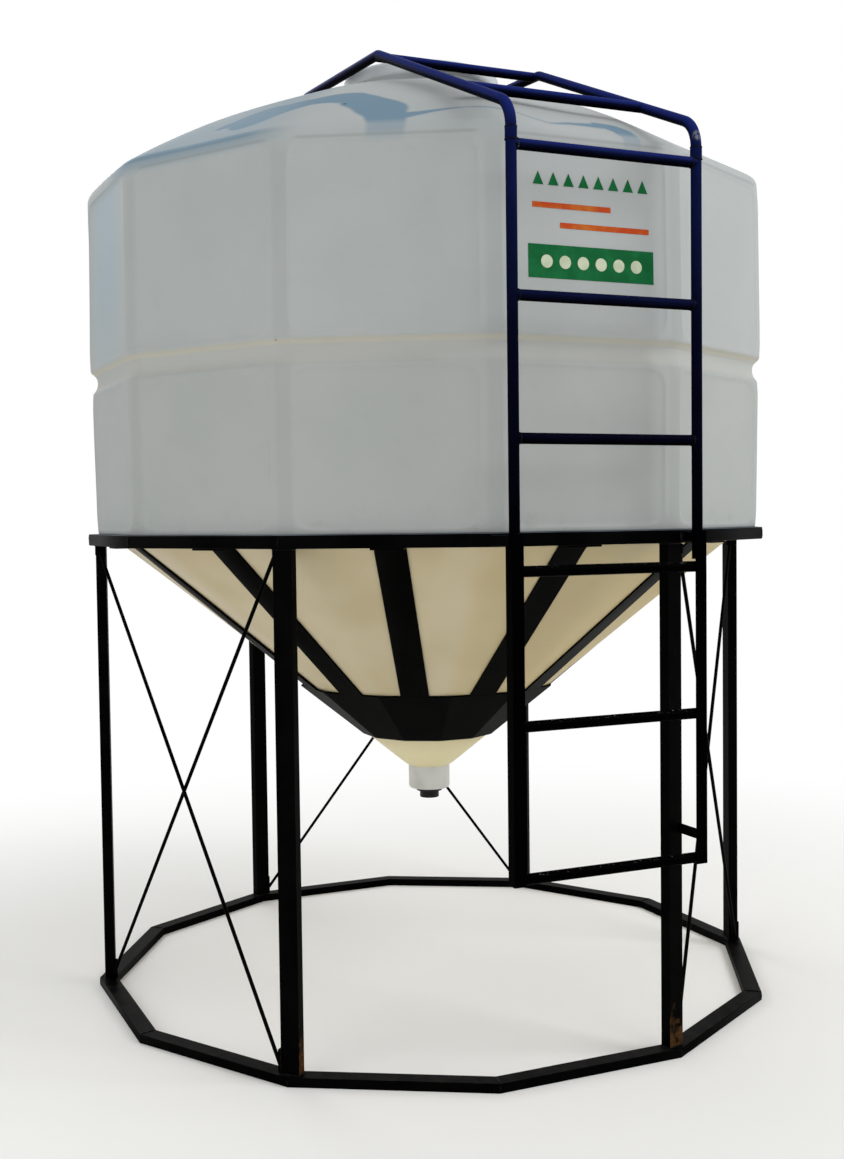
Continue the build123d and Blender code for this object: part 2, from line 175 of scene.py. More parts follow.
def azimuth_of(tree, position):
    """A position's azimuth round the tank's axis, from -180 to 180 degrees."""
    x, y, _ = add(tree, "SeparateXYZ", [position]).outputs
    angle = add(tree, "Math", [y, x], operation="ARCTAN2")
    return add(tree, "Math", [angle, 180 / pi], **times)


def tank_polyethylene():
    """Rotomoulded polyethylene: waxy, softly mottled, darker in a strip by each corner, with painted shade,
    painted highlights and painted sky reflections.
    """
    material, tree, coords = new_material("rotomoulded_polyethylene")
    position = coords["Object"]
    z = add(tree, "SeparateXYZ", [position]).outputs[2]
    azimuth = azimuth_of(tree, position)
    # Degrees round each flat, from 0 at its middle, with the corner at 15
    round_flat = add(tree, "Math", [azimuth, 450.0], operation="ADD")
    round_flat = add(tree, "Math", [round_flat, side_angle], operation="MODULO")
    # Cloudy patches of about 300 mm, from a wall of uneven thickness
    mottle = cloud_mask(tree, position, 3.3, 4.0, 0.35, 0.65)
    wall = wall_colour(tree, position, mottle, azimuth, round_flat)
    roof = roof_colour(tree, position, mottle, azimuth)
    on_roof = add(tree, "MapRange", [z, 2.72, 2.765], **smooth)
    colour = add(tree, "Mix", {0: on_roof, 6: wall, 7: roof}, **colours)
    # Painted shade: a darker line along the top of each flat, where it folds into the shoulder
    fold_shade = line_mask(tree, z, 2.746, 0.001, 0.008, 0.33)
    on_flat = line_mask(tree, round_flat, corner_strip_angle, 1.6, 3.0, 0.0, 1.0)
    fold_shade = add(tree, "Math", [fold_shade, on_flat], **times)
    colour = add(tree, "Mix", {0: fold_shade, 6: colour, 7: "#858a89"}, **colours)
    # Two specks of black dirt, one on the roof and one on the groove's lip
    for place in ((-0.596, -0.775, 2.880), (-0.845, -0.834, 2.170)):
        speck = add(tree, "VectorMath", [position, place], operation="DISTANCE").outputs["Value"]
        speck = add(tree, "MapRange", [speck, 0.006, 0.010, 0.8, 0.0])
        colour = add(tree, "Mix", {0: speck, 6: colour, 7: "#2a2a2c"}, **colours)
    # Orange peel of about 3 mm, drawn at 9 mm so that it shows
    peel = add(tree, "TexNoise", {"Vector": position, "Scale": 110.0, "Detail": 2.0})
    surface(tree, {
        "Base Color": colour,
        "Roughness": 0.5,
        "IOR": 1.51,
        "Specular IOR Level": 0.02,
        "Normal": add(tree, "Bump", {"Height": peel, "Distance": 0.0004, "Strength": 0.35}),
    })
    return material


def wall_colour(tree, position, mottle, azimuth, round_flat):
    """The wall's grey, with darker strips by its corners, painted light in its groove, a painted bluish sky
    reflection on one side and the grime at its foot.
    """
    z = add(tree, "SeparateXYZ", [position]).outputs[2]
    upper = add(tree, "Mix", {0: mottle, 6: "#adb2b1", 7: "#b0b4b4"}, **colours)
    lower = add(tree, "Mix", {0: mottle, 6: "#aaaeac", 7: "#adb0ae"}, **colours)
    above_groove = add(tree, "MapRange", [z, 2.10, 2.25], **smooth)
    wall = add(tree, "Mix", {0: above_groove, 6: lower, 7: upper}, **colours)
    # A darker strip, a little to one side of each corner
    strip = line_mask(tree, round_flat, corner_strip_angle, 0.8, 1.7, 0.22)
    below_eave = add(tree, "MapRange", [z, 2.70, 2.75, 1.0, 0.0], **smooth)
    strip = add(tree, "Math", [strip, below_eave], **times)
    wall = add(tree, "Mix", {0: strip, 6: wall, 7: "#989c9a"}, **colours)
    # Painted sky reflection: the side away from the sun is a little bluer above the groove
    sky_reflection = add(tree, "Math", [azimuth], operation="ABSOLUTE")
    sky_reflection = line_mask(tree, sky_reflection, 180.0, 3.0, 15.0, 0.62)
    higher = add(tree, "MapRange", [z, 2.0, 2.5, 0.1, 1.0], **smooth)
    sky_reflection = add(tree, "Math", [sky_reflection, higher], **times)
    wall = add(tree, "Mix", {0: sky_reflection, 6: wall, 7: "#9eb2bd"}, **colours)
    # Painted light: the groove is paler, with a painted cream highlight along its upper lip
    groove_light = line_mask(tree, z, groove_middle, 0.022, 0.040, 0.6)
    wall = add(tree, "Mix", {0: groove_light, 6: wall, 7: "#b9b9b4"}, **colours)
    lip_highlight = line_mask(tree, z, groove_lip, 0.002, 0.012, 0.45)
    wall = add(tree, "Mix", {0: lip_highlight, 6: wall, 7: "#cec6ae"}, **colours)
    # Grime in specks of about 60 mm that gathers at the foot
    specks = cloud_mask(tree, position, 16.0, 6.0, 0.5, 0.75, roughness=0.7)
    low = add(tree, "MapRange", [z, 1.62, 1.72, 0.25, 0.05], **smooth)
    grime = add(tree, "Math", [specks, low], **times)
    return add(tree, "Mix", {0: grime, 6: wall, 7: "#83837b"}, **colours)


def roof_colour(tree, position, mottle, azimuth):
    """The roof's grey, with painted bluish sky reflections on its left side and in streaks, and a painted
    highlight round the hatch.
    """
    z = add(tree, "SeparateXYZ", [position]).outputs[2]
    roof = add(tree, "Mix", {0: mottle, 6: "#abb0b1", 7: "#b0b4b4"}, **colours)
    # Painted sky reflection: the left side is bluer below the hatch, and bluest in a thin line along the eave
    sky_reflection = line_mask(tree, azimuth, -155.0, 13.0, 24.0, 1.0)
    below_hatch = add(tree, "MapRange", [z, 3.13, 3.02], **smooth)
    sky_reflection = add(tree, "Math", [sky_reflection, below_hatch], **times)
    eave_reflection = line_mask(tree, z, 2.778, 0.005, 0.016, 1.0, 0.6)
    sky_reflection = add(tree, "Math", [sky_reflection, eave_reflection], **times)
    roof = add(tree, "Mix", {0: sky_reflection, 6: roof, 7: "#7c93a2"}, **colours)
    # The painted sky reflections grow faint at the eave
    above_eave = add(tree, "MapRange", [z, 2.77, 2.80, 0.45, 1.0], **smooth)
    reflection_streaks = add(tree, "Math", [above_eave, roof_reflection_streaks(tree, position)], **times)
    roof = add(tree, "Mix", {0: reflection_streaks, 6: roof, 7: "#6c889b"}, **colours)
    # Painted highlight: a pale line where the roof turns up into the hatch's neck
    turn = line_mask(tree, z, neck_root, 0.001, 0.0035, 0.7)
    return add(tree, "Mix", {0: turn, 6: roof, 7: "#d6d3c6"}, **colours)


def roof_reflection_streaks(tree, position):
    """A mask of the painted bluish sky reflections on the roof, as strokes in plan with wavy edges."""
    # Each stroke runs from one place and half width to another, in metres
    strokes = [
        ((-0.88, -0.49), 0.030, (-0.79, -0.57), 0.110),
        ((-0.79, -0.57), 0.110, (-0.66, -0.66), 0.045),
        ((-0.66, -0.66), 0.045, (-0.55, -0.72), 0.060),
        ((-0.55, -0.72), 0.060, (-0.53, -0.90), 0.075),
        ((-0.53, -0.90), 0.075, (-0.57, -1.05), 0.040),
        ((-0.51, -0.98), 0.025, (-0.33, -1.02), 0.007),
        ((-0.33, -1.02), 0.007, (-0.19, -1.04), 0.006),
        ((-0.19, -1.04), 0.006, (-0.09, -1.10), 0.006),
        ((-0.09, -1.10), 0.006, (0.10, -1.05), 0.020),
        ((0.10, -1.04), 0.020, (0.17, -1.06), 0.040),
        ((0.17, -1.06), 0.040, (0.15, -1.18), 0.030),
    ]
    plan = add(tree, "Mapping", {0: position, 3: (1.0, 1.0, 0.0)})
    waves = add(tree, "TexNoise", {"Vector": position, "Scale": 6.0, "Detail": 1.0})
    waves = add(tree, "VectorMath", [waves.outputs["Color"], (0.5, 0.5, 0.5)], operation="SUBTRACT")
    waves = add(tree, "VectorMath", {0: waves, "Scale": 0.05}, operation="SCALE")
    plan = add(tree, "VectorMath", [plan, waves], operation="ADD")
    # Depth inside the nearest stroke, which begins well outside them all
    deepest = -1.0
    for start, width, end, end_width in strokes:
        start, end = Vector((*start, 0)), Vector((*end, 0))
        run = end - start
        away = add(tree, "VectorMath", [plan, start], operation="SUBTRACT")
        away = add(tree, "VectorMath", [away, (1, 1, 0)], **times)
        share = add(tree, "VectorMath", [away, run / run.length_squared], operation="DOT_PRODUCT")
        share = add(tree, "Math", [share.outputs["Value"], 0.0], operation="ADD", use_clamp=True)
        nearest = add(tree, "VectorMath", {0: run, "Scale": share}, operation="SCALE")
        distance = add(tree, "VectorMath", [away, nearest], operation="DISTANCE").outputs["Value"]
        reach = add(tree, "Math", [share, end_width - width, width], operation="MULTIPLY_ADD")
        depth = add(tree, "Math", [reach, distance], operation="SUBTRACT")
        deepest = add(tree, "Math", [deepest, depth], operation="MAXIMUM")
    return add(tree, "MapRange", [deepest, -0.005, 0.012, 0.0, 0.95], **smooth)


def hopper_polyethylene():
    """Natural polyethylene: cream and milky, faintly streaked down the cone, brighter at the spout."""
    material, tree, coords = new_material("natural_polyethylene")
    position = coords["Object"]
    z = add(tree, "SeparateXYZ", [position]).outputs[2]
    # Faint streaks about 200 mm wide that run down the cone
    stretched = add(tree, "Mapping", {0: position, 3: (1.0, 1.0, 0.1)})
    streaks = cloud_mask(tree, stretched, 4.5, 2.0, 0.3, 0.7, roughness=0.4)
    colour = add(tree, "Mix", {0: streaks, 6: "#cfc19f", 7: "#c4b48d"}, **colours)
    # It turns yellower at two of the corners, towards the right of the ladder, and back behind
    azimuth = azimuth_of(tree, position)
    first = add(tree, "MapRange", [azimuth, -108.0, -102.0, 0.0, 0.4], **smooth)
    second = add(tree, "MapRange", [azimuth, -78.0, -72.0, 0.0, 0.4], **smooth)
    yellow = add(tree, "Math", [first, second], operation="ADD")
    in_front = add(tree, "MapRange", [azimuth, 90.0, 160.0, 1.0, 0.0])
    yellow = add(tree, "Math", [yellow, in_front], **times)
    colour = add(tree, "Mix", {0: yellow, 6: colour, 7: "#c6b27a"}, **colours)
    # Brighter and yellower below the collar
    below_collar = add(tree, "MapRange", [z, 0.80, 0.95, 1.0, 0.0], **smooth)
    colour = add(tree, "Mix", {0: below_collar, 6: colour, 7: "#ebdfb1"}, **colours)
    # Orange peel of about 3 mm, drawn at 11 mm so that it shows
    peel = add(tree, "TexNoise", {"Vector": position, "Scale": 90.0, "Detail": 2.0})
    surface(tree, {
        "Base Color": colour,
        "Roughness": 0.45,
        "IOR": 1.51,
        "Subsurface Weight": 0.10,
        "Subsurface Radius": (0.02, 0.014, 0.008),
        "Subsurface Scale": 1.0,
        "Normal": add(tree, "Bump", {"Height": peel, "Distance": 0.0005, "Strength": 0.4}),
    })
    return material


def moulded_plastic(name, pale, dark, roughness, shine=0.5):
    """A moulded plastic in one colour, with faint clouding."""
    material, tree, coords = new_material(name)
    position = coords["Object"]
    clouds = cloud_mask(tree, position, 12.0, 4.0, 0.35, 0.7)
    # Orange peel of about 3 mm, drawn at 7 mm so that it shows
    peel = add(tree, "TexNoise", {"Vector": position, "Scale": 140.0, "Detail": 2.0})
    surface(tree, {
        "Base Color": add(tree, "Mix", {0: clouds, 6: pale, 7: dark}, **colours),
        "Roughness": roughness,
        "IOR": 1.5,
        "Specular IOR Level": shine,
        "Normal": add(tree, "Bump", {"Height": peel, "Distance": 0.0003, "Strength": 0.4}),
    })
    return material


def frame_enamel():
    """Black alkyd enamel brushed on mild steel: deep black, dusty on top, rusted through at the feet, with a
    painted sky reflection on the top ring's upper face.
    """
    material, tree, coords = new_material("black_enamel")
    position, normal = coords["Object"], coords["Normal"]
    z = add(tree, "SeparateXYZ", [position]).outputs[2]
    upward = add(tree, "SeparateXYZ", [normal]).outputs[2]
    clouds = cloud_mask(tree, position, 7.0, 5.0, 0.35, 0.7, roughness=0.6)
    paint = add(tree, "Mix", {0: clouds, 6: "#010101", 7: "#050505"}, **colours)
    # Dust on faces that look up
    dust = cloud_mask(tree, position, 25.0, 5.0, 0.4, 0.7, strength=0.08)
    level = add(tree, "MapRange", [upward, 0.7, 0.95], **smooth)
    dust = add(tree, "Math", [dust, level], **times)
    paint = add(tree, "Mix", {0: dust, 6: paint, 7: "#55524b"}, **colours)
    # Painted sky reflection: the top ring's upper face is a pale blue grey
    on_top_ring = add(tree, "MapRange", [z, tank_seat - 0.006, tank_seat - 0.002])
    ring_top_reflection = add(tree, "Math", [level, on_top_ring], **times)
    uneven = add(tree, "MapRange", [clouds, 0.0, 1.0, 0.35, 0.9])
    ring_top_reflection = add(tree, "Math", [ring_top_reflection, uneven], **times)
    paint = add(tree, "Mix", {0: ring_top_reflection, 6: paint, 7: "#7d8896"}, **colours)
    patches = add(tree, "TexNoise", {"Vector": position, "Scale": 38.0, "Detail": 6.0, "Roughness": 0.65})
    rust = foot_rust(tree, position, normal, patches)
    blotches = add(tree, "TexNoise", {"Vector": position, "Scale": 120.0, "Detail": 4.0})
    rust_colour = add(tree, "Mix", {0: blotches, 6: "#24160d", 7: "#5a3f24"}, **colours)
    # Brush marks about 6 mm apart along the sections
    drawn = add(tree, "Mapping", {0: position, 3: (1.0, 1.0, 0.1)})
    brushed = add(tree, "TexNoise", {"Vector": drawn, "Scale": 160.0, "Detail": 3.0})
    flakes = add(tree, "Math", [rust, patches], **times)
    relief = add(tree, "Math", [brushed, flakes], operation="ADD")
    dull = add(tree, "Math", [rust, dust], operation="MAXIMUM")
    surface(tree, {
        "Base Color": add(tree, "Mix", {0: rust, 6: paint, 7: rust_colour}, **colours),
        "Roughness": add(tree, "MapRange", [dull, 0.0, 1.0, 0.42, 0.9]),
        "IOR": 1.5,
        "Specular IOR Level": 0.01,
        "Normal": add(tree, "Bump", {"Height": relief, "Distance": 0.0006, "Strength": 0.5}),
    })
    return material


def foot_rust(tree, position, normal, patches):
    """Rust on the lowest quarter metre of the front legs, on the faces to the ladder's right."""
    _, y, z = add(tree, "SeparateXYZ", [position]).outputs
    facing = add(tree, "VectorMath", [normal, (0.5, -0.866, 0.0)], operation="DOT_PRODUCT").outputs["Value"]
    facing = add(tree, "MapRange", [facing, 0.80, 0.93], **smooth)
    low = add(tree, "MapRange", [z, 0.04, 0.24, 0.22, -0.15], **smooth)
    rust = add(tree, "Math", [patches, low], operation="ADD")
    rust = add(tree, "MapRange", [rust, 0.52, 0.76], **smooth)
    above_ring = add(tree, "MapRange", [z, base_ring_top - 0.001, base_ring_top + 0.005], **smooth)
    at_front = add(tree, "MapRange", [y, -0.5, -0.6])
    for mask in (facing, above_ring, at_front):
        rust = add(tree, "Math", [rust, mask], **times)
    return rust


def ladder_enamel():
    """Navy enamel on steel tube, chipped on top, with painted shade lower down under the tank and underneath,
    and painted light on the sides that face the sky.
    """
    material, tree, coords = new_material("navy_enamel")
    position, normal = coords["Object"], coords["Normal"]
    z = add(tree, "SeparateXYZ", [position]).outputs[2]
    upward = add(tree, "SeparateXYZ", [normal]).outputs[2]
    clouds = cloud_mask(tree, position, 9.0, 5.0, 0.35, 0.7, roughness=0.6)
    navy = add(tree, "Mix", {0: clouds, 6: "#05081a", 7: "#0a0d26"}, **colours)
    # Painted light: brighter on the sides that face the sky, the more so towards the top
    sunlit = add(tree, "MapRange", [upward, -0.35, 0.6], **smooth)
    higher = add(tree, "MapRange", [z, 2.2, 2.85, 0.1, 1.0])
    sunlit = add(tree, "Math", [sunlit, higher], **times)
    navy = add(tree, "Mix", {0: sunlit, 6: navy, 7: "#1b2768"}, **colours)
    # Painted shade on the undersides
    underside_shade = add(tree, "MapRange", [upward, -0.8, -0.3, 1.0, 0.0], **smooth)
    navy = add(tree, "Mix", {0: underside_shade, 6: navy, 7: "#020207"}, **colours)
    # Painted shade: nearly black lower down, in the tank's shade
    tank_shade = add(tree, "MapRange", [z, 1.45, 2.65, 1.0, 0.0], **smooth)
    paint = add(tree, "Mix", {0: tank_shade, 6: navy, 7: "#010101"}, **colours)
    # Chips and scuffs of about 8 mm on the upper side, below the bends
    scuffs = add(tree, "TexNoise", {"Vector": position, "Scale": 120.0, "Detail": 5.0, "Roughness": 0.7})
    chips = add(tree, "MapRange", [scuffs, 0.61, 0.67], **smooth)
    on_top = add(tree, "MapRange", [upward, 0.5, 0.9], **smooth)
    below_bend = add(tree, "MapRange", [z, 2.75, 2.70])
    for mask in (on_top, below_bend):
        chips = add(tree, "Math", [chips, mask], **times)
    # One worn spot at the right-hand bend
    spot = add(tree, "VectorMath", [position, (0.303, -1.275, 2.757)], operation="DISTANCE").outputs["Value"]
    spot = add(tree, "MapRange", [spot, 0.008, 0.02, 1.0, 0.0], **smooth)
    ragged = add(tree, "MapRange", [scuffs, 0.45, 0.55], **smooth)
    spot = add(tree, "Math", [spot, ragged], **times)
    worn = add(tree, "Math", [chips, spot], operation="MAXIMUM")
    surface(tree, {
        "Base Color": add(tree, "Mix", {0: worn, 6: paint, 7: "#77787e"}, **colours),
        "Roughness": add(tree, "MapRange", [worn, 0.0, 1.0, 0.33, 0.6]),
        "IOR": 1.5,
        "Specular IOR Level": 0.003,
        "Normal": add(tree, "Bump", {"Height": scuffs, "Distance": 0.0005, "Strength": 0.3}),
    })
    return material


def weld_metal():
    """Mild steel weld bead under thin paint: rippled, grey where the paint has flaked off."""
    material, tree, coords = new_material("painted_weld")
    position = coords["Object"]
    # Flaked patches of about 20 mm over ripples of about 4 mm
    patches = cloud_mask(tree, position, 45.0, 5.0, 0.62, 0.70, roughness=0.65)
    ripples = add(tree, "TexNoise", {"Vector": position, "Scale": 260.0, "Detail": 3.0})
    surface(tree, {
        "Base Color": add(tree, "Mix", {0: patches, 6: "#030304", 7: "#4c4a48"}, **colours),
        "Roughness": 0.5,
        "Specular IOR Level": 0.06,
        "Normal": add(tree, "Bump", {"Height": ripples, "Distance": 0.0012, "Strength": 0.8}),
    })
    return material


def vinyl_film(name, pale, dark):
    """Printed vinyl film: flat and a little faded by the sun."""
    material, tree, coords = new_material(name)
    # Faded patches of about 45 mm
    faded = cloud_mask(tree, coords["Object"], 22.0, 5.0, 0.4, 0.7, roughness=0.6)
    surface(tree, {
        "Base Color": add(tree, "Mix", {0: faded, 6: pale, 7: dark}, **colours),
        "Roughness": 0.4,
        "IOR": 1.5,
        "Specular IOR Level": 0.05,
    })
    return material


# Mesh helpers

def edges_between(verts):
    """The edges that have both ends in a set of vertices."""
    inside = set(verts)
    return list(dict.fromkeys(e for v in verts for e in v.link_edges if e.other_vert(v) in inside))


def new_vertices(grown):
    """The vertices among what an operator made."""
    return [g for g in grown if isinstance(g, bmesh.types.BMVert)]


def twelve_sided_loop(bm, apothem, z):
    """A level twelve-sided outline with a flat side square to the ladder."""
    verts = bmesh.ops.create_circle(bm, cap_ends=False, segments=sides, radius=apothem / to_apothem)["verts"]
    bmesh.ops.rotate(bm, cent=(0, 0, 0), matrix=Matrix.Rotation(half_side, 3, "Z"), verts=verts)
    bmesh.ops.translate(bm, vec=(0, 0, z), verts=verts)
    return verts


def shell_of_levels(bm, outer, inner):
    """A twelve-sided shell up one list of levels and back down another, closed at its foot.

    A level is the distance to the flats and the height.
    """
    levels = outer + inner
    first = verts = twelve_sided_loop(bm, *levels[0])
    for (low, low_z), (high, high_z) in zip(levels, levels[1:]):
        grown = bmesh.ops.extrude_edge_only(bm, edges=edges_between(verts))["geom"]
        verts = new_vertices(grown)
        bmesh.ops.scale(bm, vec=(high / low, high / low, 1), verts=verts)
        bmesh.ops.translate(bm, vec=(0, 0, high_z - low_z), verts=verts)
    bmesh.ops.bridge_loops(bm, edges=edges_between(first) + edges_between(verts))


def corner_edges(bm):
    """The edges that run along a shell's twelve corners."""
    def at_one_corner(edge):
        a, b = edge.verts
        return abs(a.co.xy.angle_signed(b.co.xy)) < 0.01
    return [e for e in bm.edges if at_one_corner(e)]


def soften_corners(bm, width):
    """Cuts a shell's twelve corners back to a narrow strip."""
    bmesh.ops.bevel(
        bm, geom=corner_edges(bm), offset=width, offset_type="OFFSET", segments=1,
        profile=0.5, affect="EDGES", material=-1,
    )
    bmesh.ops.recalc_face_normals(bm, faces=bm.faces)


def spun(profile, steps=64):
    """A body turned about the axis from a profile of (distance, height) points."""
    bm = bmesh.new()
    verts = [bm.verts.new((r, 0, z)) for r, z in profile]
    edges = [bm.edges.new(pair) for pair in zip(verts, verts[1:])]
    bmesh.ops.spin(
        bm, geom=verts + edges, cent=(0, 0, 0), axis=(0, 0, 1), dvec=(0, 0, 0),
        angle=2 * pi, steps=steps, use_merge=True, use_duplicate=False,
    )
    bmesh.ops.remove_doubles(bm, verts=bm.verts, dist=0.00005)
    bmesh.ops.recalc_face_normals(bm, faces=bm.faces)
    return bm


def run_tube(bm, start, corners, end, radius=tube_radius, segments=20):
    """A round tube from start to end with a bend at each corner, given as place and bend radius."""
    place = Vector(start)
    along = (Vector(corners[0][0] if corners else end) - place).normalized()
    verts = bmesh.ops.create_circle(bm, cap_ends=False, segments=segments, radius=radius)["verts"]
    turn = Vector((0, 0, 1)).rotation_difference(along).to_matrix()
    bmesh.ops.rotate(bm, cent=(0, 0, 0), matrix=turn, verts=verts)
    bmesh.ops.translate(bm, vec=place, verts=verts)
    close_tube(bm, verts, along)
    targets = [Vector(corner[0]) for corner in corners[1:]] + [Vector(end)]
    for (corner, bend_radius), target in zip(corners, targets):
        corner = Vector(corner)
        after = (target - corner).normalized()
        angle = along.angle(after)
        reach = bend_radius * tan(angle / 2)
        verts = stretch_tube(bm, verts, corner - along * reach - place)
        place = corner - along * reach
        inward = (after - along * along.dot(after)).normalized()
        steps = max(4, ceil(degrees(angle) / 6))
        bent = bmesh.ops.spin(
            bm, geom=verts + edges_between(verts), cent=place + inward * bend_radius,
            axis=along.cross(inward), dvec=(0, 0, 0), angle=angle, steps=steps,
            use_merge=False, use_duplicate=False,
        )["geom_last"]
        verts = new_vertices(bent)
        place = corner + after * reach
        along = after
    verts = stretch_tube(bm, verts, Vector(end) - place)
    close_tube(bm, verts, -along)


def stretch_tube(bm, verts, run):
    """A straight run of tube from an open end, and its new end."""
    verts = new_vertices(bmesh.ops.extrude_edge_only(bm, edges=edges_between(verts))["geom"])
    bmesh.ops.translate(bm, vec=run, verts=verts)
    return verts


def close_tube(bm, verts, inward, wall=0.002, depth=0.02):
    """An open tube end with its wall's thickness and a short hollow."""
    rim = bmesh.ops.extrude_edge_only(bm, edges=edges_between(verts))["geom"]
    rim = new_vertices(rim)
    centre = sum((v.co for v in rim), Vector()) / len(rim)
    share = 1 - wall / (rim[0].co - centre).length
    bmesh.ops.scale(bm, vec=(share, share, share), verts=rim, space=Matrix.Translation(-centre))
    floor = new_vertices(bmesh.ops.extrude_edge_only(bm, edges=edges_between(rim))["geom"])
    bmesh.ops.translate(bm, vec=inward * depth, verts=floor)
    bmesh.ops.contextual_create(bm, geom=edges_between(floor))


def merged_copy(node):
    """A copy of a CAD node with its triangles merged into whole faces."""
    bm = bmesh.new()
    bm.from_mesh(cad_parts[node].data)
    bmesh.ops.remove_doubles(bm, verts=bm.verts, dist=0.00001)
    bmesh.ops.dissolve_limit(bm, angle_limit=radians(0.5), verts=bm.verts, edges=bm.edges)
    return bm


def make_piece(bm, name, material, nodes=(), smooth_angle=35):
    """Turns a finished bmesh into a piece that rides on the silo and stands for CAD nodes."""
    mesh = bpy.data.meshes.new(name)
    for face in bm.faces:
        face.smooth = True
    bm.to_mesh(mesh)
    bm.free()
    mesh.set_sharp_from_angle(angle=radians(smooth_angle))
    piece = bpy.data.objects.new(name, mesh)
    bpy.context.collection.objects.link(piece)
    mesh.materials.append(material)
    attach(piece, "root")
    if nodes:
        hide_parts(*nodes)
    return piece


def soften_edges(piece, width):
    """Rounds a piece's edges."""
    rounding = piece.modifiers.new("rounded_edges", "BEVEL")
    rounding.width = width
    rounding.segments = 2
    rounding.limit_method = "ANGLE"
    rounding.angle_limit = radians(35)
    rounding.harden_normals = True


def subdivide(piece):
    """Smooths a piece with the same number of levels in view and in render."""
    smoothing = piece.modifiers.new("smooth_shell", "SUBSURF")
    smoothing.levels = 2
    smoothing.render_levels = 2


def ripple(piece, name, size, height, group, direction):
    """Lets a moulded wall wander in and out by a little."""
    texture = bpy.data.textures.new(name, "CLOUDS")
    texture.noise_scale = size
    texture.noise_depth = 1
    wander = piece.modifiers.new(name, "DISPLACE")
    wander.texture = texture
    wander.texture_coords = "LOCAL"
    wander.strength = height
    wander.mid_level = 0.5
    wander.vertex_group = group
    wander.direction = direction


# Tank

def inner_roof_z(apothem):
    """Height of the roof's inner face at a distance from the axis."""
    return roof_centre[1] + sqrt((roof_radius - skin) ** 2 - (apothem - roof_centre[0]) ** 2)


def tank_moulding(material):
    """The tank's wall and roof in one moulding, with a shallow recessed panel on each flat."""
    bm = bmesh.new()
    wall_top = wall_outline[-1][0]
    slope = asin((wall_top - roof_centre[0]) / roof_radius)
    shoulder = 0.037
    roof = [wall_top - shoulder * cos(slope), 1.02, 0.88, 0.73, 0.58, 0.44, 0.34, 0.300, roof_rim_apothem]
    outer = wall_outline + [(wall_top, roof_z(wall_top))] + [(a, roof_z(a)) for a in roof]
    inner = [(a, inner_roof_z(a)) for a in (roof_rim_apothem, 0.300, 0.60, 0.90, wall_top - 0.03)]
    inner += [(a - skin, z) for a, z in reversed(wall_outline)]
    shell_of_levels(bm, outer, inner)
    soften_corners(bm, 0.032)
    # The large faces that look outwards, each recessed by 3 mm with a soft edge
    panels = [f for f in bm.faces if f.calc_area() > 0.2 and f.normal.xy.dot(f.calc_center_median().xy) > 0.9]
    for width, depth in ((0.004, 0), (0.012, -0.003), (0.022, 0)):
        bmesh.ops.inset_individual(bm, faces=panels, thickness=width, depth=depth)

    def is_long(edge):
        a, b = (v.co for v in edge.verts)
        level = abs(a.z - b.z) < 0.0001 and (a - b).length > 0.07
        return level or abs(a.z - b.z) > 0.3
    bmesh.ops.subdivide_edges(bm, edges=[e for e in bm.edges if is_long(e)], cuts=5, use_grid_fill=True)
    round_off_roof(bm)
    sag(bm)
    walls = ["tank_wall_%02d" % (i + 1) for i in range(sides)]
    nodes = walls + ["roof_panels_a", "roof_panels_b"]
    piece = make_piece(bm, "tank_moulding", material, nodes, 60)
    outer_skin = piece.vertex_groups.new(name="wall")
    roof_skin = piece.vertex_groups.new(name="roof")
    for vertex in piece.data.vertices:
        above = ramp(vertex.co.z, 2.76, 2.82)
        roof_skin.add([vertex.index], above * ramp(vertex.co.xy.length, 0.32, 0.42), "REPLACE")
        outer_skin.add([vertex.index], 1 - above, "REPLACE")
    subdivide(piece)
    ripple(piece, "wall_wander", 0.35, 0.002, "wall", "NORMAL")
    ripple(piece, "roof_wander", 0.40, 0.005, "roof", "Z")
    return piece


def round_off_roof(bm):
    """Lets the roof's twelve sides run out into a circle round the hatch."""
    for vertex in bm.verts:
        radius = vertex.co.xy.length
        if vertex.co.z < 2.8:
            continue
        azimuth = degrees(atan2(vertex.co.y, vertex.co.x))
        off_flat = radians((azimuth + side_angle / 2) % side_angle - side_angle / 2)
        target = radius * cos(off_flat) * 1.004
        vertex.co.xy *= (radius + (target - radius) * ramp(radius, 0.85, 0.35)) / radius


def ramp(value, start, end):
    """How far a value has gone from start to end, from 0 to 1."""
    return min(1, max(0, (value - start) / (end - start)))


def between(value, start, end):
    """How far a value has gone from start to end, from 0 to 1 with soft ends."""
    share = ramp(value, start, end)
    return share * share * (3 - 2 * share)


def sag(bm):
    """Lets a moulding leave the true round: full at one side, its roof slack on the right of the ladder."""
    rightward = polar(1, full_side_azimuth, 0)
    for vertex in bm.verts:
        across = vertex.co.dot(rightward)
        height = vertex.co.z
        slack = right_roof_slack * between(across, 0.15, 0.55) * (1 - 0.6 * between(across, 0.85, 1.10))
        slack += left_roof_slack * between(across, -0.1, -0.4) * between(across, -0.9, -0.7)
        vertex.co.z -= slack * between(height, 2.75, 2.80)
        shoulder = between(across, -0.90, -1.08) * between(height, 2.68, 2.76) * between(height, 2.90, 2.82)
        vertex.co.z += left_shoulder_rise * shoulder
        vertex.co -= rightward * left_shoulder_fullness * shoulder
        tank_share = between(across, 0.80, 1.10) * between(height, 1.58, 1.61)
        vertex.co += rightward * right_fullness * tank_share
        cone_share = between(across, -0.15, -0.45) * between(height, 1.58, 1.50)
        vertex.co += rightward * left_cone_pull * cone_share


